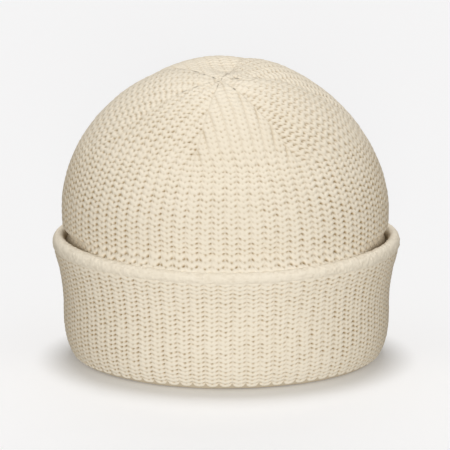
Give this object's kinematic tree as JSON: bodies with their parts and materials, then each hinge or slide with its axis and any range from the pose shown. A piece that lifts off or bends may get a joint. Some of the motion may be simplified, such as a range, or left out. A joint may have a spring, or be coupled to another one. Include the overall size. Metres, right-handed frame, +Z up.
{
  "type": "beanie",
  "caption": "Chunky ribbed knit beanie with a rounded crown of fashioned gores and a deep turned-up cuff ending in a rolled welt.",
  "frame": {"origin": "centre of the rim's oval, on the surface that the hat stands on", "axes": "+Z up through the crown, -Y toward the front, +X to the right seen from the front"},
  "size_m": [0.1858, 0.1644, 0.1618],
  "materials": {
    "crown_knit": "matte cream rib knit",
    "cuff_knit": "matte cream rib knit"
  },
  "bodies": {
    "root": {"crown": "crown_knit", "cuff": "cuff_knit"}
  },
  "joints": []
}
